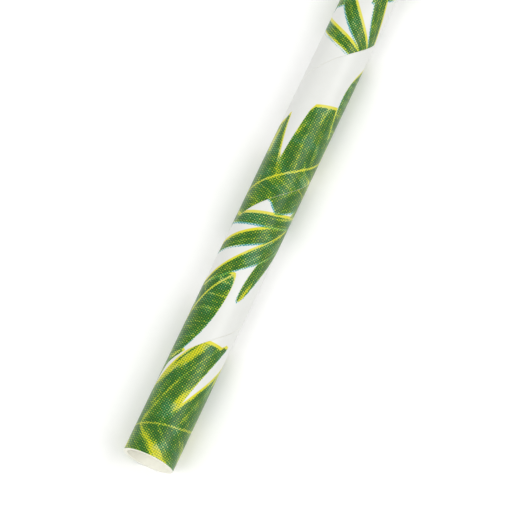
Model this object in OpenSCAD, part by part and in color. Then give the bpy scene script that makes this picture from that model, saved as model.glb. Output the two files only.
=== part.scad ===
// Paper drinking straw, wound from three glued paper strips and cut square at both ends.
// It lies along X with its underside on Z = 0 and its middle over the origin.
// The strips are glued into one wall, so the straw is one solid. Their edges stay visible
// as fine helical seams: one outside, in the printed strip, and one inside the bore.

/* [Straw] */
// Outside diameter of the finished straw
straw_d = 6; // [4:0.1:12]
// Length of the straw between its two cut ends
straw_l = 197; // [100:1:250]
// Depth of the narrow flat that the paper takes on where it lies
rest_flat_t = 0.05; // [0.02:0.01:0.08]

/* [Wall] */
// Thickness of the printed outer strip
outer_ply_t = 0.10; // [0.06:0.01:0.16]
// Thickness of the hidden middle strip
middle_ply_t = 0.16; // [0.10:0.01:0.24]
// Thickness of the inner strip, which lines the bore
inner_ply_t = 0.16; // [0.10:0.01:0.24]

/* [Winding] */
// Angle between the strips' edges and the straw's axis, in degrees
wind_angle = 45; // [35:1:55]
// Gap left between neighbouring edges of the outer strip
outer_gap = 0.05; // [0.03:0.01:0.20]
// Gap left between neighbouring edges of the inner strip
inner_gap = 0.10; // [0.03:0.01:0.20]
// Distance from the front end (at -X) to the outer seam's first crossing of the top line
seam_start = 13.8; // [0:0.1:18]
// Distance along the straw from the outer seam to the inner one
seam_offset = 6.3; // [2:0.1:9]

/* [Hidden] */

$fn = 96;

straw_r = straw_d / 2;
seam_floor_r = straw_r - outer_ply_t;
seam_roof_r = seam_floor_r - middle_ply_t;
bore_r = seam_roof_r - inner_ply_t;

// The strips advance one pitch in each turn, so that the outer strip just closes.
pitch = PI * straw_d / tan(wind_angle);
// A seam is cut in straight steps, this many to a turn.
seam_steps = 24;
// How far a cutter runs past the surface or the end that it opens
past = 0.3;
// Where the top line lies, as an angle from +Y towards +Z
top_angle = 90;

// A point of a helix about X, at angle a and radius r, x_shift along from the seam's middle
function helix_point(a, r, x_shift) =
    [pitch * a / 360 + x_shift, r * cos(a + top_angle), r * sin(a + top_angle)];

// The four corners of a seam's section at angle a, counted from where it crosses the top line
function seam_section(a, low_r, high_r, width) = [
    helix_point(a, low_r, -width / 2),
    helix_point(a, low_r, width / 2),
    helix_point(a, high_r, width / 2),
    helix_point(a, high_r, -width / 2)
];

// The space between two strip edges, as a solid that winds from end to end.
// gap is square to the edges, and crossing is where the seam crosses the top line.
module seam(low_r, high_r, gap, crossing) {
    step = 360 / seam_steps;
    first = floor((-past - crossing) / pitch * seam_steps);
    last = ceil((straw_l + past - crossing) / pitch * seam_steps);
    width = gap / sin(wind_angle);
    corners = [
        for (i = [first:last])
            each seam_section(i * step, low_r, high_r, width)
    ];
    rings = last - first;
    sides = [
        for (ring = [0:rings - 1], side = [0:3])
            let (here = 4 * ring + side, next = 4 * ring + (side + 1) % 4)
                each [[here, here + 4, next], [next, here + 4, next + 4]]
    ];
    front = [[0, 1, 2, 3]];
    back = [[for (side = [3:-1:0]) 4 * rings + side]];
    translate([crossing, 0, 0])
        polyhedron(points = corners, faces = concat(sides, front, back), convexity = 20);
}

module wall() {
    rotate([0, 90, 0])
        cylinder(r = straw_r, h = straw_l);
}

module bore() {
    translate([-past, 0, 0])
        rotate([0, 90, 0])
            cylinder(r = bore_r, h = straw_l + 2 * past);
}

module outer_seam() {
    seam(seam_floor_r, straw_r + past, outer_gap, seam_start);
}

module inner_seam() {
    seam(bore_r - past, seam_roof_r, inner_gap, seam_start + seam_offset);
}

// What lies below the flat underside
module rest_flat() {
    translate([-past, -straw_r, -straw_r - past])
        cube([straw_l + 2 * past, straw_d, past + rest_flat_t]);
}

module straw() {
    color("darkseagreen")
        translate([-straw_l / 2, 0, straw_r - rest_flat_t])
            difference() {
                wall();
                bore();
                outer_seam();
                inner_seam();
                rest_flat();
            }
}

straw();
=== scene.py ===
# %% [markdown]
# A paper drinking straw is not moulded or drawn out: it is wound. Three narrow strips of paper,
# wet with glue, run round a steel pin at 45 degrees, one over the other, and the tube that forms
# is sawn into lengths. This lesson winds the same three strips, prints the outer one with
# leaves, and puts the straw on a pale table under soft light.
#
# The CAD part gives the sizes.

# %% Load the part
import math

import bpy
import numpy as np
from mathutils import Matrix, Vector


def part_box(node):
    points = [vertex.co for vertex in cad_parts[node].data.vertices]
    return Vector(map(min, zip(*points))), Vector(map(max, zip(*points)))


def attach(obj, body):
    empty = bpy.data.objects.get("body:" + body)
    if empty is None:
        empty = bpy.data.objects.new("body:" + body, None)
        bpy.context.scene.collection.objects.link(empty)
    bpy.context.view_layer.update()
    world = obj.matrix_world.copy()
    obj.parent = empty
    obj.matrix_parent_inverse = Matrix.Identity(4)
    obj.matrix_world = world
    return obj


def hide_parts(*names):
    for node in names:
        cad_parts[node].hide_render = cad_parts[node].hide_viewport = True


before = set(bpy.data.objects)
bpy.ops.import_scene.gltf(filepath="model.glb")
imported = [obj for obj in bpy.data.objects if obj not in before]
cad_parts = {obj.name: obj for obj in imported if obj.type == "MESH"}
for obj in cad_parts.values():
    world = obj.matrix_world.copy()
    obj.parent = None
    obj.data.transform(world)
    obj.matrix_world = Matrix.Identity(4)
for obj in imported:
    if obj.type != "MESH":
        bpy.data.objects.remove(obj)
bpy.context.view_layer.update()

# %% [markdown]
# Every length below is worked out in millimetres and turned to metres at the last moment,
# because a straw's paper is easier to think of as 0.1 than as 0.0001.
#
# The straw lies along X. Its length, radius and height are read from the CAD node's box: the
# paper gives 0.05 mm where it lies, so the axis is that much lower than the radius.

# %% Read the straw's sizes
MM = 0.001

low, high = (Vector(corner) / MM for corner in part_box("straw"))
straw_length = high.x - low.x
straw_radius = (high.y - low.y) / 2
axis_height = high.z - straw_radius
print(f"straw {straw_length:.1f} mm long, {2 * straw_radius:.2f} mm across, axis at {axis_height:.2f} mm")

# %% [markdown]
# The wall is three papers thick. The thin one outside carries the print, and the two below give
# the strength. Each is wound so that its edges all but meet, and the joints of the three are
# staggered, so that none goes right through the wall. A strip moves on by one pitch in each
# turn, and that fixes how wide it has to be.

# %% Say how the strips are wound
# The thickness of each paper in millimetres, from the outside in
OUTER_PAPER = 0.10
MIDDLE_PAPER = 0.16
INNER_PAPER = 0.16
# The angle between a strip's edges and the straw's axis
WIND_ANGLE = math.radians(45)
# Where each strip's joint crosses the top line, in millimetres from the front end
OUTER_CROSSING = 13.8
MIDDLE_CROSSING = OUTER_CROSSING + 12.7
INNER_CROSSING = OUTER_CROSSING + 6.3

pitch = 2 * math.pi * straw_radius / math.tan(WIND_ANGLE)
strip_width = pitch * math.sin(WIND_ANGLE)
print(f"each turn advances {pitch:.2f} mm, so the strips are {strip_width:.2f} mm wide")

# %% [markdown]
# Node trees are built in code here, so that the lesson stands alone. One small function is
# enough: it adds a node, sets its options, and fills each input with a value or with a link.
# A node given as an input stands for its first output.
#
# Colours are chosen as sRGB codes, as in a paint program, but Blender mixes them as amounts of
# light. A second function turns one to the other.

# %% Add a node and read a colour
# The node that does sums, and the sums that come up most
MATH = "ShaderNodeMath"
ADD = {"operation": "ADD"}
SUBTRACT = {"operation": "SUBTRACT"}
MULTIPLY = {"operation": "MULTIPLY"}
DIVIDE = {"operation": "DIVIDE"}
MULTIPLY_ADD = {"operation": "MULTIPLY_ADD"}
# With this, a Map Range node goes from one value to the other along a soft curve
SMOOTH_RANGE = {"interpolation_type": "SMOOTHSTEP"}
# A Mix node has inputs of one name for numbers, vectors and colours, so they go by position
FACTOR = 0
NUMBER_A, NUMBER_B = 2, 3
VECTOR_A, VECTOR_B = 4, 5
COLOUR_A, COLOUR_B = 6, 7
VECTOR_RESULT = 1
COLOUR_RESULT = 2


def add(tree, kind, options=None, inputs=None):
    """Add a node to the tree, set its options, and fill its inputs with values or links."""
    node = tree.nodes.new(kind)
    for name, value in (options or {}).items():
        setattr(node, name, value)
    for name, value in (inputs or {}).items():
        if isinstance(value, bpy.types.Node):
            value = value.outputs[0]
        if isinstance(value, bpy.types.NodeSocket):
            tree.links.new(value, node.inputs[name])
        else:
            node.inputs[name].default_value = value
    return node


def linear(code):
    """Turn an sRGB colour such as "f2f1ec" to the linear values that Blender mixes."""
    parts = [int(code[i:i + 2], 16) / 255 for i in (0, 2, 4)]
    return [p / 12.92 if p <= 0.04045 else ((p + 0.055) / 1.055) ** 2.4 for p in parts] + [1.0]


print("grey 808080 gives", round(linear("808080")[0], 3), "of the light that white does")

# %% [markdown]
# The print is made of three inks on white paper: a yellow that is nearly solid, and a cyan and a
# dark green that are printed as dots. Where cyan lies over yellow the eye sees green, and the
# size of the dots sets how dark it is.
#
# A printer's screen makes the dots, and the node group below is one such screen. Two cosine
# waves at right angles make hills and hollows, and the ink fills them as high as the tone. At a
# low tone only the hollows hold ink, as dots. At a high tone only the hilltops stay bare.

# %% A halftone screen
DOT_SOFTNESS = 0.1


def new_group(name, inputs, outputs):
    """Start a shader node group with the inputs and outputs named."""
    group = bpy.data.node_groups.new(name, "ShaderNodeTree")
    for in_out, sockets in (("INPUT", inputs), ("OUTPUT", outputs)):
        for label, kind in sockets.items():
            group.interface.new_socket(name=label, in_out=in_out, socket_type="NodeSocket" + kind)
    return group, add(group, "NodeGroupInput").outputs


screen, given = new_group(
    "halftone screen", {"Tone": "Float", "Place": "Vector", "Angle": "Float", "Dot Pitch": "Float"},
    {"Ink": "Float"})
turned = add(screen, "ShaderNodeVectorRotate", {"rotation_type": "Z_AXIS"}, {
    "Vector": given["Place"], "Angle": given["Angle"]})
waves = add(screen, MATH, DIVIDE, {0: 2 * math.pi, 1: given["Dot Pitch"]})
phase = add(screen, "ShaderNodeVectorMath", {"operation": "SCALE"}, {0: turned, "Scale": waves})
axes = add(screen, "ShaderNodeSeparateXYZ", {}, {0: phase}).outputs
hill_a = add(screen, MATH, {"operation": "COSINE"}, {0: axes["X"]})
hill_b = add(screen, MATH, {"operation": "COSINE"}, {0: axes["Y"]})
hills = add(screen, MATH, ADD, {0: hill_a, 1: hill_b})

# The hills run from 0 to 1, and the tone a little further, so that its ends are clean
level = add(screen, MATH, MULTIPLY_ADD, {0: hills, 1: 0.25, 2: 0.5})
full_tone = add(screen, MATH, MULTIPLY_ADD, {
    0: given["Tone"], 1: 1 + 2 * DOT_SOFTNESS, 2: -DOT_SOFTNESS})
above = add(screen, MATH, SUBTRACT, {0: full_tone, 1: level})
ink = add(screen, "ShaderNodeMapRange", SMOOTH_RANGE, {
    "Value": above, "From Min": -DOT_SOFTNESS, "From Max": DOT_SOFTNESS})
add(screen, "NodeGroupOutput", {}, {"Ink": ink})
print("one screen:", len(screen.nodes), "nodes")

# %% [markdown]
# The leaves look painted, so a leaf's tones come from noise. The mesh carries three numbers for
# each point: how far it is inside the leaf's edge, how far it is from the rib, and which vein
# runs through it. Noise that changes fast from vein to vein, and slowly along the strip, gives
# the brushed streaks. A broader one gives the yellow patches, and a fine one a light speckle.
#
# The group takes the inks that lie below and gives those on top, so that leaves can be stacked.

# %% Start one layer of leaves with its brushwork
# How often the noises change in a millimetre: the streaks about every 0.8 mm across the veins
# and every 4.5 mm over the strip, and the speckle every 0.9 mm
STREAKS_PER_MM = 1.3
STROKES_PER_MM = 0.22
SPECKLES_PER_MM = 1.1
# How much slower the patches change than the streaks, across the veins and over the strip
BROADER = (0.3, 0.5, 0.5)

layer, given = new_group(
    "layer of leaves",
    {"Under": "Vector", "Leaf": "Vector", "Yellow Edge": "Float", "Place": "Vector"},
    {"Inks": "Vector"})
edge, rib, grain = add(layer, "ShaderNodeSeparateXYZ", {}, {0: given["Leaf"]}).outputs
spot = add(layer, "ShaderNodeSeparateXYZ", {}, {0: given["Place"]}).outputs
fine_grain = add(layer, MATH, MULTIPLY, {0: grain, 1: STREAKS_PER_MM})
fine_u = add(layer, MATH, MULTIPLY, {0: spot["X"], 1: STROKES_PER_MM})
fine_v = add(layer, MATH, MULTIPLY, {0: spot["Y"], 1: STROKES_PER_MM})
fine_place = add(layer, "ShaderNodeCombineXYZ", {}, {"X": fine_grain, "Y": fine_u, "Z": fine_v})
streaks = add(layer, "ShaderNodeTexNoise", {}, {
    "Vector": fine_place, "Scale": 1.0, "Detail": 3.0, "Roughness": 0.6})
broad_place = add(layer, "ShaderNodeVectorMath", {"operation": "MULTIPLY"}, {
    0: fine_place, 1: BROADER})
patches = add(layer, "ShaderNodeTexNoise", {}, {
    "Vector": broad_place, "Scale": 1.0, "Detail": 1.0, "Roughness": 0.5})
speckle = add(layer, "ShaderNodeTexNoise", {}, {
    "Vector": given["Place"], "Scale": SPECKLES_PER_MM, "Detail": 1.0, "Roughness": 0.5})
print("the brushwork takes", len(layer.nodes), "nodes")

# %% [markdown]
# The noises are now added up to one number, the leaf's light. The streaks are stronger in the
# patches, and away from the rib the patches come a little more often.
#
# Real green isn't one green. A last and slower noise lets it drift: where it is high the dark
# ink thins out and the cyan fills in, which gives a cooler, bluish green.

# %% Work out the leaf's light
# The drift changes about every 2 mm
DRIFTS_PER_MM = 0.45
DRIFT_SWING = 0.9

off_rib = add(layer, "ShaderNodeMapRange", {}, {
    "Value": rib, "From Min": 2.0, "From Max": 7.0, "To Min": 0.0, "To Max": 0.07})
raised = add(layer, MATH, ADD, {0: patches, 1: off_rib})
bright = add(layer, "ShaderNodeMapRange", SMOOTH_RANGE, {
    "Value": raised, "From Min": 0.54, "From Max": 0.70})
brushed = add(layer, "ShaderNodeMapRange", {}, {
    "Value": streaks, "From Min": 0.32, "From Max": 0.68})
contrast = add(layer, MATH, MULTIPLY_ADD, {0: bright, 1: 0.75, 2: 0.3})
strokes = add(layer, MATH, MULTIPLY, {0: brushed, 1: contrast})
brushwork = add(layer, MATH, MULTIPLY_ADD, {0: bright, 1: 0.08, 2: strokes})
light = add(layer, MATH, MULTIPLY_ADD, {0: speckle, 1: 0.45, 2: brushwork})

drift = add(layer, "ShaderNodeTexNoise", {}, {
    "Vector": given["Place"], "Scale": DRIFTS_PER_MM, "Detail": 2.0, "Roughness": 0.5})
drifting = add(layer, MATH, MULTIPLY_ADD, {0: drift, 1: DRIFT_SWING, 2: -DRIFT_SWING / 2})
dark_light = add(layer, MATH, ADD, {0: light, 1: drifting})
cyan_light = add(layer, MATH, MULTIPLY_ADD, {0: drifting, 1: -0.5, 2: light})
print("with the light it takes", len(layer.nodes), "nodes")

# %% [markdown]
# The rib, the veins and the rim of a leaf hold less cyan and dark ink, so they shine yellow.
# The rim is on one side only. The plates of a real press never meet exactly, so the yellow one
# sticks out there, and on the other side it falls short and leaves a pale blue rim. The mesh
# gives how far each point is inside the yellow plate's leaf, and the difference tells the side.

# %% Draw the rib, the veins and the rim
# Everything in millimetres: where a line is full, and where it has faded out
RIB_LINE = (0.06, 0.2)
VEIN_LINE = (0.03, 0.2)
RIM_LINE = (0.05, 0.2)
VEIN_SPACING = 2.2

rib_line = add(layer, "ShaderNodeMapRange", SMOOTH_RANGE, {
    "Value": rib, "From Min": RIB_LINE[0], "From Max": RIB_LINE[1], "To Min": 0.75, "To Max": 0.0})
to_vein = add(layer, MATH, {"operation": "PINGPONG"}, {0: grain, 1: VEIN_SPACING / 2})
vein_lines = add(layer, "ShaderNodeMapRange", SMOOTH_RANGE, {
    "Value": to_vein, "From Min": VEIN_LINE[0], "From Max": VEIN_LINE[1], "To Min": 0.2, "To Max": 0.0})
facing = add(layer, MATH, SUBTRACT, {0: given["Yellow Edge"], 1: edge})
yellow_side = add(layer, "ShaderNodeMapRange", SMOOTH_RANGE, {
    "Value": facing, "From Min": 0.02, "From Max": 0.12})
near_edge = add(layer, "ShaderNodeMapRange", SMOOTH_RANGE, {
    "Value": edge, "From Min": RIM_LINE[0], "From Max": RIM_LINE[1], "To Min": 0.9, "To Max": 0.0})
rim = add(layer, MATH, MULTIPLY, {0: yellow_side, 1: near_edge})
lines = add(layer, MATH, {"operation": "MAXIMUM"}, {0: rib_line, 1: vein_lines})
lifted = add(layer, MATH, {"operation": "MAXIMUM"}, {0: lines, 1: rim})
kept = add(layer, MATH, SUBTRACT, {0: 1.0, 1: lifted})
print("with its lines it takes", len(layer.nodes), "nodes")

# %% [markdown]
# The light sets how much of each ink is laid: the lighter the leaf, the smaller its cyan and
# dark dots. Some stay even in the yellow patches, as on the real straw. The yellow is close to
# solid everywhere, but thins a little where the green has drifted to blue.

# %% Set the tones of the three inks
cyan_tone = add(layer, "ShaderNodeMapRange", {}, {
    "Value": cyan_light, "From Min": 0.30, "From Max": 0.95, "To Min": 0.75, "To Max": 0.14})
dark_tone = add(layer, "ShaderNodeMapRange", {}, {
    "Value": dark_light, "From Min": 0.20, "From Max": 0.80, "To Min": 0.76, "To Max": 0.34})
yellow_tone = add(layer, "ShaderNodeMapRange", {}, {
    "Value": light, "From Min": 0.40, "From Max": 0.75, "To Min": 0.97, "To Max": 1.0})
thinning = add(layer, "ShaderNodeMapRange", SMOOTH_RANGE, {
    "Value": drift, "From Min": 0.50, "From Max": 0.66, "To Min": 1.0, "To Max": 0.8})
thinned = add(layer, MATH, MULTIPLY, {0: yellow_tone, 1: thinning})
yellow_full = add(layer, MATH, {"operation": "MAXIMUM"}, {0: thinned, 1: lifted})
# The dark ink also stops at the yellow's own edge, so that the fringe beyond it is pale blue
fringe = add(layer, "ShaderNodeMapRange", SMOOTH_RANGE, {
    "Value": given["Yellow Edge"], "From Min": -0.05, "From Max": 0.12})
kept_dark = add(layer, MATH, MULTIPLY, {0: kept, 1: fringe})
cyan = add(layer, MATH, MULTIPLY, {0: cyan_tone, 1: kept})
dark = add(layer, MATH, MULTIPLY, {0: dark_tone, 1: kept_dark})
leaf_inks = add(layer, "ShaderNodeCombineXYZ", {}, {"X": cyan, "Y": dark, "Z": 1.0})
print("with its tones it takes", len(layer.nodes), "nodes")

# %% [markdown]
# The leaf covers whatever lies below it. Its cyan and dark inks end at its own edge, and its
# yellow at the yellow plate's.

# %% Lay the leaf over what is below
cover = add(layer, "ShaderNodeMapRange", SMOOTH_RANGE, {
    "Value": edge, "From Min": -0.06, "From Max": 0.06})
stacked = add(layer, "ShaderNodeMix", {"data_type": "VECTOR"}, {
    FACTOR: cover, VECTOR_A: given["Under"], VECTOR_B: leaf_inks}).outputs[VECTOR_RESULT]
top = add(layer, "ShaderNodeSeparateXYZ", {}, {0: stacked}).outputs
below = add(layer, "ShaderNodeSeparateXYZ", {}, {0: given["Under"]}).outputs
yellow_cover = add(layer, "ShaderNodeMapRange", SMOOTH_RANGE, {
    "Value": given["Yellow Edge"], "From Min": -0.08, "From Max": 0.04})
own_yellow = add(layer, MATH, MULTIPLY, {0: yellow_cover, 1: yellow_full})
yellow = add(layer, "ShaderNodeMix", {}, {
    FACTOR: yellow_cover, NUMBER_A: below["Z"], NUMBER_B: own_yellow})
inks = add(layer, "ShaderNodeCombineXYZ", {}, {"X": top["X"], "Y": top["Y"], "Z": yellow})
add(layer, "NodeGroupOutput", {}, {"Inks": inks})
print("one layer of leaves:", len(layer.nodes), "nodes")

# %% [markdown]
# White straw paper is bleached kraft, rolled between steel rollers. It could be one plain white,
# but a perfectly even white looks like plastic. So two close whites are mixed in clouds about a
# millimetre wide, and the fibres make the surface uneven by a few thousandths of a millimetre,
# as bump.
#
# The noise is measured on the flat strip, so it winds round the straw as the paper does.

# %% Start a paper
# Paper and its clay coating bend light about as much as glass does
PAPER_IOR = 1.5
# Rough fibres mirror little of it
FIBRE_SHINE = 0.1
# A coating that was only rolled smooth spreads a reflection to a satin sheen
COAT_ROUGHNESS = 0.38
# Clumps of fibres to the millimetre, and their height in millimetres
FIBRES_PER_MM = 6.0
FIBRE_HEIGHT = 0.004


def start_paper(name, roughness, coating, whites, clouds_per_mm):
    """Make the material of a plain paper, which a print can be laid over."""
    material = bpy.data.materials.new(name)
    material.use_nodes = True
    tree = material.node_tree
    tree.nodes.clear()
    place = add(tree, "ShaderNodeUVMap", {"name": "place", "uv_map": "strip"})
    fibres = add(tree, "ShaderNodeTexNoise", {}, {
        "Vector": place, "Scale": FIBRES_PER_MM, "Detail": 4.0, "Roughness": 0.7})
    relief = add(tree, "ShaderNodeBump", {}, {
        "Strength": 0.5, "Distance": FIBRE_HEIGHT * MM, "Height": fibres})
    clouds = add(tree, "ShaderNodeTexNoise", {}, {
        "Vector": place, "Scale": clouds_per_mm, "Detail": 3.0})
    white = add(tree, "ShaderNodeMix", {"name": "white", "data_type": "RGBA"}, {
        FACTOR: clouds, COLOUR_A: linear(whites[0]), COLOUR_B: linear(whites[1])})
    shader = add(tree, "ShaderNodeBsdfPrincipled", {"name": "shader"}, {
        "Base Color": white.outputs[COLOUR_RESULT], "Roughness": roughness, "IOR": PAPER_IOR,
        "Specular IOR Level": FIBRE_SHINE, "Coat Weight": coating, "Coat Roughness": COAT_ROUGHNESS,
        "Normal": relief})
    add(tree, "ShaderNodeOutputMaterial", {}, {"Surface": shader})
    print(name, "has", len(tree.nodes), "nodes")
    return material


# %% [markdown]
# The two strips inside are bare. Bare kraft has no coating, so it is matte, and its white is a
# little warm. Where the saw has cut across the papers, the fibres stand on end and hold shade
# between them. That shade is painted: the sawn ends get duller whites than the flat of the paper.

# %% The bare paper and its sawn edge
BARE_CLOUDS_PER_MM = 1.2
BARE_ROUGHNESS = 0.75

bare_paper = start_paper(
    "bleached kraft paper, bare", BARE_ROUGHNESS, 0.0, ("fbfaef", "f7f6ea"), BARE_CLOUDS_PER_MM)
# The sawn ends' duller whites are painted shade, for the shade between the standing fibres
sawn_paper = start_paper(
    "bleached kraft paper, sawn", BARE_ROUGHNESS, 0.0, ("e8e7db", "e3e2d4"), BARE_CLOUDS_PER_MM)

# %% [markdown]
# The outer strip has a thin coating that carries the ink and gives a satin shine, over a cool
# white. Three layers of leaves are stacked, and their tones go through a screen for each inked
# plate, at two angles so that the dots don't clash. The real dots are about 0.25 mm apart. These
# are 0.26 mm apart, a touch coarser, so that they show in the picture.
#
# Inks are clear, so each takes light away: the colours are multiplied. Ink also spreads into the
# paper between its dots, which printers call dot gain. An even tint of pale cyan stands for it.

# %% The printed paper
LAYERS = ("back", "middle", "front")
COATED_ROUGHNESS = 0.5
COATING = 0.75
COATED_CLOUDS_PER_MM = 0.8
# The screen: the dots' distance in millimetres, and the way in which their rows run
DOT_PITCH = 0.26
CYAN_ANGLE = math.radians(-12)
DARK_ANGLE = math.radians(-42)
YELLOW_INK = "f7ed08"
DOT_GAIN_TINT = "bff2f4"
CYAN_INK = "48acb6"
DARK_INK = "759a5a"

printed_paper = start_paper(
    "bleached kraft paper, coated and printed", COATED_ROUGHNESS, COATING, ("dddeda", "d8d9d4"),
    COATED_CLOUDS_PER_MM)
tree = printed_paper.node_tree
place = tree.nodes["place"]
colour = tree.nodes["white"].outputs[COLOUR_RESULT]
under = (0.0, 0.0, 0.0)
for name in LAYERS:
    leaf = add(tree, "ShaderNodeAttribute", {"attribute_name": name + "_leaf"})
    yellow_edge = add(tree, "ShaderNodeAttribute", {"attribute_name": name + "_yellow"})
    under = add(tree, "ShaderNodeGroup", {"node_tree": layer}, {
        "Under": under, "Leaf": leaf.outputs["Vector"],
        "Yellow Edge": yellow_edge.outputs["Fac"], "Place": place})
cyan_amount, dark_amount, yellow_amount = add(tree, "ShaderNodeSeparateXYZ", {}, {0: under}).outputs
cyan_dots = add(tree, "ShaderNodeGroup", {"node_tree": screen}, {
    "Tone": cyan_amount, "Place": place, "Angle": CYAN_ANGLE, "Dot Pitch": DOT_PITCH})
dark_dots = add(tree, "ShaderNodeGroup", {"node_tree": screen}, {
    "Tone": dark_amount, "Place": place, "Angle": DARK_ANGLE, "Dot Pitch": DOT_PITCH})
for amount, ink_colour in (
        (yellow_amount, YELLOW_INK), (cyan_amount, DOT_GAIN_TINT),
        (cyan_dots, CYAN_INK), (dark_dots, DARK_INK)):
    colour = add(tree, "ShaderNodeMix", {"data_type": "RGBA", "blend_type": "MULTIPLY"}, {
        FACTOR: amount, COLOUR_A: colour, COLOUR_B: linear(ink_colour)}).outputs[COLOUR_RESULT]
tree.links.new(colour, tree.nodes["shader"].inputs["Base Color"])
print("printed, it has", len(tree.nodes), "nodes")

# %% [markdown]
# Now the shape. A wound strip follows a rule, so Geometry Nodes make it. A grid is bent into
# shape: each row of the grid is one station along the winding, and runs once round the strip's
# own section, across its outside, down one edge, back across its inside and up the other edge.
#
# The tree is told the strip's sizes through named inputs, so one tree winds all three.

# %% Start the tree that winds a strip
TREE_INPUTS = {
    "Float": (
        "Length", "Axis Height", "Inner Radius", "Outer Radius", "Pitch", "Slot", "Crossing",
        "Wind Angle", "Edge Roll", "Edge Width", "Joint Place", "Joint Depth", "Joint Width"),
    "Int": ("Steps per Turn", "Columns"),
    "Material": ("Outside", "Bare Paper", "Sawn Paper"),
}

winding = bpy.data.node_groups.new("wind a paper strip", "GeometryNodeTree")
for kind, names in TREE_INPUTS.items():
    for name in names:
        winding.interface.new_socket(name=name, in_out="INPUT", socket_type="NodeSocket" + kind)
    print("inputs of kind", kind + ":", ", ".join(names))
winding.interface.new_socket(name="Strip", in_out="OUTPUT", socket_type="NodeSocketGeometry")
given = add(winding, "NodeGroupInput").outputs
columns = given["Columns"]
steps = given["Steps per Turn"]

# %% [markdown]
# The strip lies at a slant, so at each end it has to wind on until its whole width has passed
# the end, or the end would stay open. The tree works out the turn at which the far edge passes
# the front end, and the turn at which the near edge passes the back end. The slot is the gap of
# the joint, measured along the straw.

# %% Work out the first and the last turn
half_slot = add(winding, MATH, MULTIPLY, {0: given["Slot"], 1: 0.5})
near = add(winding, MATH, ADD, {0: given["Crossing"], 1: half_slot})
body = add(winding, MATH, SUBTRACT, {0: given["Pitch"], 1: given["Slot"]})
far = add(winding, MATH, ADD, {0: near, 1: body})
minus_far = add(winding, MATH, MULTIPLY, {0: far, 1: -1.0})
first = add(winding, MATH, DIVIDE, {0: minus_far, 1: given["Pitch"]})
rest = add(winding, MATH, SUBTRACT, {0: given["Length"], 1: near})
last = add(winding, MATH, DIVIDE, {0: rest, 1: given["Pitch"]})
print("the turns take", len(winding.nodes), "nodes")

# %% [markdown]
# The grid has a row for each step of the winding and a column for each point of the section:
# one more than the outside's faces, two for the inside's corners, and one that closes the ring.
# A point's number tells its row and its column, and the row tells its turn.

# %% Lay a grid of rows and columns
first_step = add(winding, MATH, MULTIPLY, {0: first, 1: steps})
first_row = add(winding, MATH, {"operation": "FLOOR"}, {0: first_step})
last_step = add(winding, MATH, MULTIPLY, {0: last, 1: steps})
last_row = add(winding, MATH, {"operation": "CEIL"}, {0: last_step})
span = add(winding, MATH, SUBTRACT, {0: last_row, 1: first_row})
rows = add(winding, MATH, ADD, {0: span, 1: 1.0})
ring = add(winding, MATH, ADD, {0: columns, 1: 4.0})
grid = add(winding, "GeometryNodeMeshGrid", {}, {"Vertices X": rows, "Vertices Y": ring})

index = add(winding, "GeometryNodeInputIndex")
ratio = add(winding, MATH, DIVIDE, {0: index, 1: ring})
# A whole number may come out a hair too small, so it is nudged before it is rounded down
nudged = add(winding, MATH, ADD, {0: ratio, 1: 0.0001})
row = add(winding, MATH, {"operation": "FLOOR"}, {0: nudged})
passed = add(winding, MATH, MULTIPLY, {0: row, 1: ring})
column = add(winding, MATH, SUBTRACT, {0: index, 1: passed})

counted = add(winding, MATH, ADD, {0: row, 1: first_row})
free_turn = add(winding, MATH, DIVIDE, {0: counted, 1: steps})
turn = add(winding, "ShaderNodeClamp", {}, {"Value": free_turn, "Min": first, "Max": last})
print("with the grid it takes", len(winding.nodes), "nodes")

# %% [markdown]
# A column's place in the ring says how far across the strip it lies, from 0 to 1. The outside's
# columns come first, in order. Then come two at the far edge and the near edge of the inside,
# and the last lies on the first again.

# %% Go round the strip's section
share = add(winding, MATH, DIVIDE, {0: column, 1: columns})
capped = add(winding, MATH, {"operation": "MINIMUM"}, {0: share, 1: 1.0})
turning = add(winding, MATH, ADD, {0: columns, 1: 1.5})
going = add(winding, MATH, {"operation": "LESS_THAN"}, {0: column, 1: turning})
over = add(winding, MATH, MULTIPLY, {0: capped, 1: going})
beyond = add(winding, MATH, SUBTRACT, {0: column, 1: turning})
apart = add(winding, MATH, {"operation": "ABSOLUTE"}, {0: beyond})
inside = add(winding, MATH, {"operation": "LESS_THAN"}, {0: apart, 1: 1.0})
print("with the section it takes", len(winding.nodes), "nodes")

# %% [markdown]
# A row lies at one angle round the straw, so where it passes the straw's end it can simply be
# clamped there. That gives the square sawn end, with the strip's sharp tip, and no boolean is
# needed.

# %% Clamp the strip at the sawn ends
advance = add(winding, MATH, MULTIPLY_ADD, {0: turn, 1: given["Pitch"], 2: near})
free_x = add(winding, MATH, MULTIPLY_ADD, {0: over, 1: body, 2: advance})
x = add(winding, "ShaderNodeClamp", {}, {"Value": free_x, "Min": 0.0, "Max": given["Length"]})
sine = add(winding, MATH, {"operation": "SINE"}, {0: given["Wind Angle"]})
cosine = add(winding, MATH, {"operation": "COSINE"}, {0: given["Wind Angle"]})
inland = add(winding, MATH, SUBTRACT, {0: x, 1: advance})
across = add(winding, MATH, MULTIPLY, {0: inland, 1: sine})
print("with its ends it takes", len(winding.nodes), "nodes")

# %% [markdown]
# Wet paper isn't stiff. The outside dips a hundredth of a millimetre at the strip's edges, and
# again where it bridges the joint of the strip below. Both dips are real relief and not bump, so
# that the joints catch the light from any side.

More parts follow.
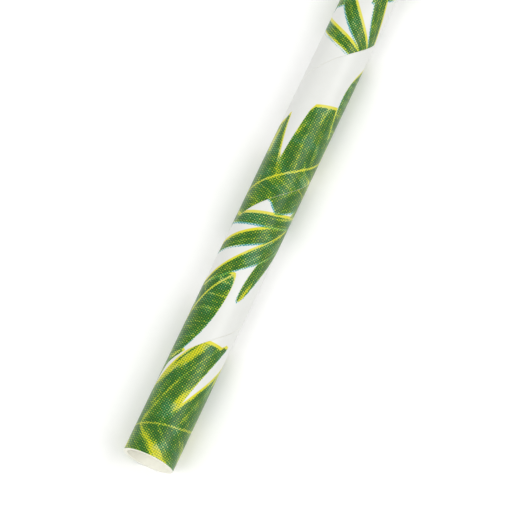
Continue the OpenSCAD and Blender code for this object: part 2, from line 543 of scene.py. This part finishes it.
# %% Let the outside dip
width = add(winding, MATH, MULTIPLY, {0: body, 1: sine})
left = add(winding, MATH, SUBTRACT, {0: width, 1: across})
nearest = add(winding, MATH, {"operation": "MINIMUM"}, {0: across, 1: left})
edge_dip = add(winding, "ShaderNodeMapRange", SMOOTH_RANGE, {
    "Value": nearest, "From Min": 0.0, "From Max": given["Edge Width"],
    "To Min": given["Edge Roll"], "To Max": 0.0})
from_joint = add(winding, MATH, SUBTRACT, {0: across, 1: given["Joint Place"]})
joint_away = add(winding, MATH, {"operation": "ABSOLUTE"}, {0: from_joint})
joint_dip = add(winding, "ShaderNodeMapRange", SMOOTH_RANGE, {
    "Value": joint_away, "From Min": 0.0, "From Max": given["Joint Width"],
    "To Min": given["Joint Depth"], "To Max": 0.0})
dips = add(winding, MATH, ADD, {0: edge_dip, 1: joint_dip})
outer_side = add(winding, MATH, SUBTRACT, {0: given["Outer Radius"], 1: dips})
radius = add(winding, "ShaderNodeMix", {}, {
    FACTOR: inside, NUMBER_A: outer_side, NUMBER_B: given["Inner Radius"]})
print("with its dips it takes", len(winding.nodes), "nodes")

# %% [markdown]
# Each point now has a place along the straw, a radius and a turn, which together are a place in
# space. Nothing may sink into the table, so the height is held at zero or more. That also makes
# the narrow flat on which the straw lies.

# %% Bend the grid round the straw
angle = add(winding, MATH, MULTIPLY, {0: turn, 1: 2 * math.pi})
sideways = add(winding, MATH, {"operation": "SINE"}, {0: angle})
upwards = add(winding, MATH, {"operation": "COSINE"}, {0: angle})
minus_y = add(winding, MATH, MULTIPLY, {0: radius, 1: sideways})
y = add(winding, MATH, MULTIPLY, {0: minus_y, 1: -1.0})
lift = add(winding, MATH, MULTIPLY, {0: radius, 1: upwards})
free_z = add(winding, MATH, ADD, {0: lift, 1: given["Axis Height"]})
z = add(winding, MATH, {"operation": "MAXIMUM"}, {0: free_z, 1: 0.0})
half_length = add(winding, MATH, MULTIPLY, {0: given["Length"], 1: 0.5})
centred = add(winding, MATH, SUBTRACT, {0: x, 1: half_length})
point = add(winding, "ShaderNodeCombineXYZ", {}, {"X": centred, "Y": y, "Z": z})
metres = add(winding, "ShaderNodeVectorMath", {"operation": "SCALE"}, {0: point, "Scale": MM})
wound = add(winding, "GeometryNodeSetPosition", {}, {"Geometry": grid, "Position": metres})
print("bent, it takes", len(winding.nodes), "nodes")

# %% [markdown]
# The paper is laid out flat in a map as well, in real millimetres: how far along the strip, and
# how far across it. The print will use that map, as the printing press did. The faces of the
# outside are marked too, by their column, while the grid still has its order. After that the
# points that were clamped onto each other can be merged.

# %% Lay the strip out flat and close it
STORE = "GeometryNodeStoreNamedAttribute"
MERGE_WITHIN = 1e-7

arc = add(winding, MATH, MULTIPLY, {0: angle, 1: given["Outer Radius"]})
arc_part = add(winding, MATH, MULTIPLY, {0: arc, 1: sine})
along = add(winding, MATH, MULTIPLY_ADD, {0: x, 1: cosine, 2: arc_part})
flat = add(winding, "ShaderNodeCombineXYZ", {}, {"X": along, "Y": across})
noted = add(winding, STORE, {"data_type": "FLOAT_VECTOR", "domain": "POINT"}, {
    "Geometry": wound, "Name": "flat", "Value": flat})
read = add(winding, "GeometryNodeInputNamedAttribute", {"data_type": "FLOAT_VECTOR"}, {
    "Name": "flat"})
mapped = add(winding, STORE, {"data_type": "FLOAT2", "domain": "CORNER"}, {
    "Geometry": noted, "Name": "strip", "Value": read})

faces_round = add(winding, MATH, ADD, {0: columns, 1: 3.0})
face_column = add(winding, MATH, {"operation": "MODULO"}, {0: index, 1: faces_round})
last_outside = add(winding, MATH, SUBTRACT, {0: columns, 1: 0.5})
outside = add(winding, MATH, {"operation": "LESS_THAN"}, {0: face_column, 1: last_outside})
marked = add(winding, STORE, {"data_type": "BOOLEAN", "domain": "FACE"}, {
    "Geometry": mapped, "Name": "outside", "Value": outside})
merged = add(winding, "GeometryNodeMergeByDistance", {}, {
    "Geometry": marked, "Distance": MERGE_WITHIN})
print("laid out and closed, it takes", len(winding.nodes), "nodes")

# %% [markdown]
# A straw is smooth all round and crisp at the paper's edges, so only edges with a sharp bend are
# kept sharp. Last, the faces get their papers: bare everywhere, then the strip's own on its
# outside, then the sawn one on the faces that look along the straw.

# %% Shade the strip and give it its papers
SHARP_BEND = math.radians(40)
FACES_THE_END = 0.9

bend = add(winding, "GeometryNodeInputMeshEdgeAngle")
crisp = add(winding, "FunctionNodeCompare", {"data_type": "FLOAT", "operation": "GREATER_THAN"}, {
    0: bend.outputs["Unsigned Angle"], 1: SHARP_BEND})
rounded = add(winding, "GeometryNodeSetShadeSmooth", {"domain": "FACE"}, {"Geometry": merged})
edged = add(winding, "GeometryNodeSetShadeSmooth", {"domain": "EDGE"}, {
    "Geometry": rounded, "Selection": crisp, "Shade Smooth": False})
real = add(winding, "GeometryNodeRealizeInstances", {}, {"Geometry": edged})
bare = add(winding, "GeometryNodeSetMaterial", {}, {
    "Geometry": real, "Material": given["Bare Paper"]})
is_outside = add(winding, "GeometryNodeInputNamedAttribute", {"data_type": "BOOLEAN"}, {
    "Name": "outside"})
dressed = add(winding, "GeometryNodeSetMaterial", {}, {
    "Geometry": bare, "Selection": is_outside, "Material": given["Outside"]})
normal = add(winding, "GeometryNodeInputNormal")
lengthwise = add(winding, "ShaderNodeSeparateXYZ", {}, {0: normal})
faces_end = add(winding, MATH, {"operation": "ABSOLUTE"}, {0: lengthwise})
is_sawn = add(winding, "FunctionNodeCompare", {"data_type": "FLOAT", "operation": "GREATER_THAN"}, {
    0: faces_end, 1: FACES_THE_END})
ended = add(winding, "GeometryNodeSetMaterial", {}, {
    "Geometry": dressed, "Selection": is_sawn, "Material": given["Sawn Paper"]})
add(winding, "NodeGroupOutput", {}, {"Strip": ended})
print("the winding tree has", len(winding.nodes), "nodes")

# %% [markdown]
# A strip is now one call: an empty object gets the tree, the inputs are set by their sockets'
# identifiers before anything is evaluated, and the result is turned into a plain mesh.

# %% Wind one strip
def wind(name, outside, **sizes):
    """Wind one strip with the sizes given, and return it as an object with a plain mesh."""
    strip = bpy.data.objects.new(name, bpy.data.meshes.new(name))
    bpy.context.collection.objects.link(strip)
    modifier = strip.modifiers.new("winding", "NODES")
    modifier.node_group = winding
    wanted = dict(sizes, **{"Outside": outside, "Bare Paper": bare_paper, "Sawn Paper": sawn_paper})
    for item in winding.interface.items_tree:
        if item.in_out == "INPUT":
            modifier[item.identifier] = wanted[item.name]
    bpy.context.view_layer.update()
    shaped = strip.evaluated_get(bpy.context.evaluated_depsgraph_get())
    mesh = bpy.data.meshes.new_from_object(shaped)
    strip.modifiers.remove(modifier)
    strip.data = mesh
    mesh.name = name
    # The grid starts with an empty material slot, which no face uses now
    if mesh.materials[0] is None:
        mesh.materials.pop(index=0)
    triangles = sum(len(face.vertices) - 2 for face in mesh.polygons)
    print(f"{name}: {len(mesh.vertices)} points, {triangles} triangles")
    return strip


# %% [markdown]
# The three strips differ only in their sizes. The outer one is seen, so it has many columns and
# its dips. The hidden ones need only their corners. Their outsides are a hair smaller than the
# inside of the strip above, which keeps two faces from lying in one place.

# %% Wind the three strips
# The gap of each strip's joint, square to its edges, in millimetres
OUTER_GAP = 0.03
MIDDLE_GAP = 0.06
INNER_GAP = 0.10
# What is left between two strips, where the glue is
GLUE_GAP = 0.005
# How deep the outside dips at its edges and over the joint below, and how far the dips reach
EDGE_ROLL = 0.012
EDGE_WIDTH = 0.25
JOINT_DEPTH = 0.01
JOINT_WIDTH = 0.35
# How far across the outer strip the joint of the middle one runs below it
JOINT_PLACE = 9.0
# How finely the grid is divided, round the straw and across the outer strip
STEPS_PER_TURN = 96
OUTER_COLUMNS = 72

middle_radius = straw_radius - OUTER_PAPER
inner_radius = middle_radius - MIDDLE_PAPER
bore_radius = inner_radius - INNER_PAPER
common = {
    "Length": straw_length, "Axis Height": axis_height, "Pitch": pitch, "Wind Angle": WIND_ANGLE,
    "Steps per Turn": STEPS_PER_TURN, "Edge Width": EDGE_WIDTH, "Joint Place": JOINT_PLACE,
    "Joint Width": JOINT_WIDTH}
hidden = dict(common, **{"Columns": 1, "Edge Roll": 0.0, "Joint Depth": 0.0})
printed_strip = wind("printed_strip", printed_paper, **common, **{
    "Inner Radius": middle_radius, "Outer Radius": straw_radius,
    "Slot": OUTER_GAP / math.sin(WIND_ANGLE), "Crossing": OUTER_CROSSING,
    "Columns": OUTER_COLUMNS, "Edge Roll": EDGE_ROLL, "Joint Depth": JOINT_DEPTH})
middle_strip = wind("middle_strip", bare_paper, **hidden, **{
    "Inner Radius": inner_radius, "Outer Radius": middle_radius - GLUE_GAP,
    "Slot": MIDDLE_GAP / math.sin(WIND_ANGLE), "Crossing": MIDDLE_CROSSING})
inner_strip = wind("inner_strip", bare_paper, **hidden, **{
    "Inner Radius": bore_radius, "Outer Radius": inner_radius - GLUE_GAP,
    "Slot": INNER_GAP / math.sin(WIND_ANGLE), "Crossing": INNER_CROSSING})

# %% [markdown]
# The leaves are drawn on the flat strip, where it is hard to tell what the winding will bring
# together. To choose their places it is easier to think of the finished straw, so each is given
# by its turn, its distance from the front end, its distance round from the top line, and its
# heading as seen from above, with the front end towards the viewer. A function turns that to the
# flat strip.
#
# They are plain garden forms: a broad split leaf, a fan of straps and a rounded leaf.

# %% The forms of the leaves and their places
# For each form: the depth of the tears in its margin, the fullness of its outline, and its
# splits. For each split: its place along the rib, its side, where it starts between rib and
# margin, and how far it opens at the margin in millimetres.
FORMS = {
    "split a": (0.05, 0.55, (
        (0.16, 1, 0.45, 1.4), (0.36, 1, 0.25, 2.4), (0.60, 1, 0.40, 1.5),
        (0.26, -1, 0.35, 2.0), (0.50, -1, 0.20, 2.6), (0.75, -1, 0.50, 1.2))),
    "split b": (0.06, 0.50, (
        (0.28, 1, 0.30, 2.4), (0.55, 1, 0.45, 1.4),
        (0.12, -1, 0.55, 1.2), (0.38, -1, 0.30, 2.0), (0.63, -1, 0.35, 1.6))),
    "strap": (0.0, 0.45, ()),
    "round": (0.0, 0.75, ()),
}
# For each leaf: layer, form, turn, mm from the front end, mm round to the right, heading in
# degrees anticlockwise from the right, length and width in mm, and how much it bows
LEAVES = (
    ("back", "split a", -1, 2.0, -11.0, 16, 31, 21, -0.2),
    ("middle", "round", 0, 10.0, -5.5, 66, 14, 7.5, 0.35),
    ("front", "strap", 0, 33.0, 6.5, 194, 14, 1.7, 0.4),
    ("middle", "strap", 0, 33.0, 6.5, 212, 16, 1.9, 0.3),
    ("front", "strap", 0, 33.0, 6.5, 230, 16, 1.9, 0.2),
    ("back", "strap", 0, 33.0, 6.5, 250, 14, 1.7, -0.2),
    ("back", "split b", 0, 35.0, 15.0, 175, 17, 12, 0.2),
    ("back", "split a", 1, 30.0, -9.0, 40, 27, 15, -0.2),
    ("middle", "round", 1, 55.0, 10.0, 250, 15, 7, -0.3),
    ("back", "split b", 2, 71.0, 7.0, 205, 25, 14, 0.2),
    ("middle", "strap", 2, 52.0, 5.0, 128, 15, 1.8, 0.3),
    ("front", "strap", 2, 52.0, 5.0, 105, 16, 1.8, 0.2),
    ("front", "strap", 2, 52.0, 5.0, 152, 14, 1.7, 0.3),
)


def on_strip(turn, ahead, round_right):
    """Turn a place on the finished straw to millimetres along and across the flat strip."""
    wrapped = turn * pitch + round_right
    return (
        (ahead + wrapped) * math.sin(WIND_ANGLE),
        (ahead - OUTER_CROSSING - wrapped) * math.sin(WIND_ANGLE))


foot = on_strip(*LEAVES[0][2:5])
print(len(LEAVES), "leaves, and the first starts at", [round(place, 1) for place in foot], "mm")

# %% [markdown]
# A leaf could be drawn as a curve, but then its veins and its splits would be further curves. A
# formula gives all of them at once. It measures a point in the leaf's own directions, along the
# rib and off it, and compares that with the leaf's half width there. Veins leave the rib at a
# slant, and the splits and the tears in the margin follow the veins, as on a real leaf.

# %% Measure the strip against one leaf
VEIN_SLANT = 0.6
VEIN_CURL = 0.02
TEARS = 7
# Below 1, this puts the widest place of a leaf nearer to its foot
WIDEST_PLACE = 0.85
# What a step along the rib is worth when it is measured square to a split
ACROSS_SPLIT = 0.8
# Each leaf's veins are counted from a place of their own, so that no two have the same streaks
VEINS_APART = 40
# A strap has no rib, and its streaks run along it
STRAP_STREAKS = 3
# The width that a leaf's tip gets in place of zero, as it is divided by
HAIR = 0.01


def leaf_field(u, v, placed, number):
    """Measure each point against one leaf: inside its edge, off its rib, and its vein."""
    form, turn, ahead, round_right, heading, length, width, bow = placed[1:]
    tear, fullness, splits = FORMS[form]
    base_u, base_v = on_strip(turn, ahead, round_right)
    way = math.radians(heading) - WIND_ANGLE
    along = (u - base_u) * math.cos(way) + (v - base_v) * math.sin(way)
    side = (v - base_v) * math.cos(way) - (u - base_u) * math.sin(way)
    share = np.clip(along / length, 0, 1)
    side = side - bow * length * (share - share ** 2)
    vein = along - VEIN_SLANT * np.abs(side) - VEIN_CURL * side ** 2
    half = width / 2 * np.sin(math.pi * share ** WIDEST_PLACE) ** fullness
    half = half * (1 - tear * np.mod(vein / length * TEARS, 1))
    beyond = np.maximum(np.maximum(-along, along - length), 0)
    edge = half - np.abs(side) - beyond
    reach = np.abs(side) / np.maximum(half, HAIR)
    for place, hand, start, opening in splits:
        gap = opening * (reach - start) / (1 - start)
        off = np.abs(vein - place * length) * ACROSS_SPLIT - gap / 2
        edge = np.where(side * hand > 0, np.minimum(edge, off), edge)
    if form == "strap":
        return edge, np.ones(u.shape), side * STRAP_STREAKS + VEINS_APART * number
    return edge, np.abs(side), vein + VEINS_APART * number


at_foot = leaf_field(np.array(foot[:1]), np.array(foot[1:]), LEAVES[0], 1)
print(f"at its foot, the first leaf's edge is {at_foot[0][0]:.1f} mm away")

# %% [markdown]
# The design repeats, as it does on a printing roller. A leaf that moves on by some turns stays at
# the same place across the strip, and goes twice as far along it: once for the straw's length
# and once for the way round. Of all the leaves in a layer, each point keeps the one that it is
# deepest inside.

# %% Measure the strip against a whole layer
TURNS_REPEATED = 4
# The copies that cover the whole strip, one of them from before the front end
REPEATS = range(-1, 4)
# What a point far from every leaf gets: well outside the edge, far off the rib, and no vein
NO_LEAF = (-9.0, 9.0, 0.0)

repeat_length = TURNS_REPEATED * pitch * 2 * math.sin(WIND_ANGLE)


def layer_fields(u, v, wanted):
    """Measure each point against the nearest leaf of one layer, over the strip's whole length."""
    best = [np.full(u.shape, value) for value in NO_LEAF]
    for number, placed in enumerate(LEAVES):
        if placed[0] != wanted:
            continue
        for repeat in REPEATS:
            found = leaf_field(u - repeat * repeat_length, v, placed, number + 1)
            closer = found[0] > best[0]
            best = [np.where(closer, new, old) for new, old in zip(found, best)]
    return best


print(f"the design repeats every {repeat_length:.1f} mm of the strip")

# %% [markdown]
# The strip is printed by storing the three numbers of each layer on its points, where the
# material finds them. The yellow plate slips by a fifth of a millimetre or so, as on the real
# straws, and its leaves are measured again at the slipped place.

# %% Print the leaves on the outer strip
PLATE_SLIP = (0.20, 0.15)

mesh = printed_strip.data
flat = np.empty(3 * len(mesh.vertices), np.float32)
mesh.attributes["flat"].data.foreach_get("vector", flat)
u, v = flat.reshape(-1, 3).T[:2].astype(float)
for name in LAYERS:
    fields = layer_fields(u, v, name)
    mesh.attributes.new(name + "_leaf", "FLOAT_VECTOR", "POINT").data.foreach_set(
        "vector", np.stack(fields, 1).ravel().astype(np.float32))
    slipped = layer_fields(u - PLATE_SLIP[0], v - PLATE_SLIP[1], name)[0]
    mesh.attributes.new(name + "_yellow", "FLOAT", "POINT").data.foreach_set(
        "value", slipped.astype(np.float32))
    print(f"{name} leaves cover {np.mean(fields[0] > 0):.0%} of the strip")

# %% [markdown]
# Files for other programs hold no shader nodes, so there the print is baked to a square picture.
# Blender could unwrap the tube by itself, but into many pieces, and this strip is flat by nature.
# It is cut into four lengths that lie side by side and fill most of the square, so each dot gets
# many pixels. First each corner of each face is told which of the lengths it lies in, how deep it
# lies in the paper, and whether its face is on the printed side.

# %% Cut the flat strip into lengths
FOLDS = 4

corner_count = len(mesh.loops)
corner_point = np.empty(corner_count, np.int32)
mesh.loops.foreach_get("vertex_index", corner_point)
first_corner = np.empty(len(mesh.polygons), np.int32)
mesh.polygons.foreach_get("loop_start", first_corner)
corner_face = np.repeat(np.arange(len(first_corner)), np.diff(first_corner, append=corner_count))

laid = np.empty(2 * corner_count, np.float32)
mesh.attributes["strip"].data.foreach_get("vector", laid)
along, across = laid.reshape(-1, 2).T.astype(float)
along = along - along.min()
fold_length = along.max() / FOLDS
face_fold = (np.minimum.reduceat(along, first_corner) // fold_length).clip(0, FOLDS - 1)
fold = face_fold[corner_face]

points = np.empty(3 * len(mesh.vertices), np.float32)
mesh.vertices.foreach_get("co", points)
x, y, z = points.reshape(-1, 3).T.astype(float) / MM
depth = (straw_radius - np.hypot(y, z - axis_height))[corner_point]
outside = np.empty(len(first_corner), bool)
mesh.attributes["outside"].data.foreach_get("value", outside)
outside = outside[corner_face]
print(f"{FOLDS} lengths of {fold_length:.1f} mm, and {np.mean(outside):.0%} of the corners are printed")

# %% [markdown]
# The printed lengths are laid one above the other at full size. The bare side has no print to
# keep, so it is pressed together lengthwise into the one row that is left, with the paper's edge
# faces standing out on both sides of it. Nothing overlaps, which a baked picture needs.

# %% Lay the lengths on a square
FOLD_GAP = 0.5

deepest = np.maximum.reduceat(depth, first_corner)
is_edge = (deepest - np.minimum.reduceat(depth, first_corner) > OUTER_PAPER / 4)[corner_face]
pushed_out = np.where(across < strip_width / 2, -1, 1) * (FOLD_GAP / 4 + depth) * is_edge
fold_width = strip_width + FOLD_GAP
side = max(fold_length, fold_width * (FOLDS + 1)) + 2 * FOLD_GAP
map_x = np.where(outside, along - fold * fold_length, along / FOLDS) + FOLD_GAP / 2
map_y = np.where(outside, fold * fold_width + across, FOLDS * fold_width + across + pushed_out)
baking_map = np.stack([map_x, map_y + FOLD_GAP / 2], 1) / side
mesh.uv_layers.new(name="OFBake", do_init=False).data.foreach_set(
    "uv", baking_map.ravel().astype(np.float32))
print(f"a square of {side:.1f} mm, filled up to {baking_map.max(0).round(3)}")

# %% [markdown]
# The camera looks down on the straw's front end at the photograph's angle. It stands far off with
# a long lens, because the straw's two edges run almost parallel there. It is placed so that the
# middle of the cut end falls on the same pixel, and the straw runs out of the frame at the top.

# %% Place the camera
IMAGE_WIDTH = 519
IMAGE_HEIGHT = 520
SENSOR_WIDTH = 36
FOCAL_PIXELS = 3000
LOOK_DOWN = math.radians(71.0)
HEADING = math.radians(24.25)
NEAR_END_PIXEL = (148.4, 460.5)
NEAR_END_DISTANCE = 333.3

forward = Vector((
    math.cos(LOOK_DOWN) * math.cos(HEADING), math.cos(LOOK_DOWN) * math.sin(HEADING),
    -math.sin(LOOK_DOWN)))
right = Vector((math.sin(HEADING), -math.cos(HEADING), 0))
upward = right.cross(forward)
ray = (forward + right * (NEAR_END_PIXEL[0] - IMAGE_WIDTH / 2) / FOCAL_PIXELS
       - upward * (NEAR_END_PIXEL[1] - IMAGE_HEIGHT / 2) / FOCAL_PIXELS).normalized()
near_end = Vector((-straw_length / 2, 0, axis_height))
camera = bpy.data.objects.new("camera", bpy.data.cameras.new("camera"))
bpy.context.collection.objects.link(camera)
camera.data.sensor_width = SENSOR_WIDTH
camera.data.lens = FOCAL_PIXELS / IMAGE_WIDTH * SENSOR_WIDTH
camera.data.clip_start = 0.01
standpoint = (near_end - ray * NEAR_END_DISTANCE) * MM
camera.matrix_world = (
    Matrix.Translation(standpoint) @ Matrix((right, upward, -forward)).transposed().to_4x4())
bpy.context.scene.camera = camera
print(f"a lens of {camera.data.lens:.0f} mm, {NEAR_END_DISTANCE:.0f} mm from the straw's end")

# %% [markdown]
# The table is a matte white board, a plain sheet large enough that its edges are out of sight.
# Its two whites are so close that it only looks less empty. It lies a hair below the straw's
# flat underside, so that the two faces don't fight for one place.

# %% Lay the table
# The sheet's width in metres, and in millimetres how far it lies below the straw and the width
# of the clouds in its white
TABLE_SIZE = 3
TABLE_DROP = 0.02
BOARD_CLOUDS = 1.25

bpy.ops.mesh.primitive_plane_add(size=TABLE_SIZE, location=(0, 0, -TABLE_DROP * MM))
table = bpy.context.object
table.name = "table"
board = bpy.data.materials.new("matte white board")
board.use_nodes = True
tree = board.node_tree
place = add(tree, "ShaderNodeTexCoord").outputs["Object"]
clouds = add(tree, "ShaderNodeTexNoise", {}, {
    "Vector": place, "Scale": 1 / (BOARD_CLOUDS * MM), "Detail": 3.0})
white = add(tree, "ShaderNodeMix", {"data_type": "RGBA"}, {
    FACTOR: clouds, COLOUR_A: linear("fefefd"), COLOUR_B: linear("fafaf9")})
shader = tree.nodes["Principled BSDF"]
shader.inputs["Roughness"].default_value = 0.9
tree.links.new(white.outputs[COLOUR_RESULT], shader.inputs["Base Color"])
table.data.materials.append(board)
print(f"the table: {board.name}, {TABLE_SIZE} m wide")

# %% [markdown]
# The photograph's light is broad: a white room, and four lights so wide that all the shadows are
# soft. The one from the left is the main one. The one from behind stands where the camera sees
# its reflection in the straw, so it gives the satin sheen along the right of the top line. A weak
# one from the right lights the side that the main one leaves dark, and the one from the front
# reaches into the bore.

# %% Light the table
ROOM_LIGHT = 0.55
# For each light: its name, the way to it, how wide it looks in degrees, and its strength
SOFT_LIGHTS = (
    ("light from the right", (-0.08, -0.74, 0.66), 22, 0.25),
    ("light from the left", (-0.50, 0.40, 0.80), 40, 1.15),
    ("light from behind", (0.30, -0.61, 0.73), 35, 0.85),
    ("light from the front", (-0.60, -0.15, 0.78), 40, 0.45),
)

world = bpy.data.worlds.new("soft white room")
bpy.context.scene.world = world
world.use_nodes = True
room = world.node_tree.nodes["Background"].inputs
room["Color"].default_value = linear("ffffff")
room["Strength"].default_value = ROOM_LIGHT
for name, way, spread, strength in SOFT_LIGHTS:
    lamp = bpy.data.lights.new(name, "SUN")
    lamp.angle = math.radians(spread)
    lamp.energy = strength
    holder = bpy.data.objects.new(name, lamp)
    bpy.context.collection.objects.link(holder)
    holder.rotation_euler = Vector(way).to_track_quat("Z", "Y").to_euler()
    print(name, "is", spread, "degrees wide")
bpy.context.scene.view_settings.view_transform = "Standard"

# %% [markdown]
# Last, each strip is tied to the part's one body, and stands in for the CAD solid.

# %% Tie and finish
for strip in (printed_strip, middle_strip, inner_strip):
    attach(strip, "root")
    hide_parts("straw")
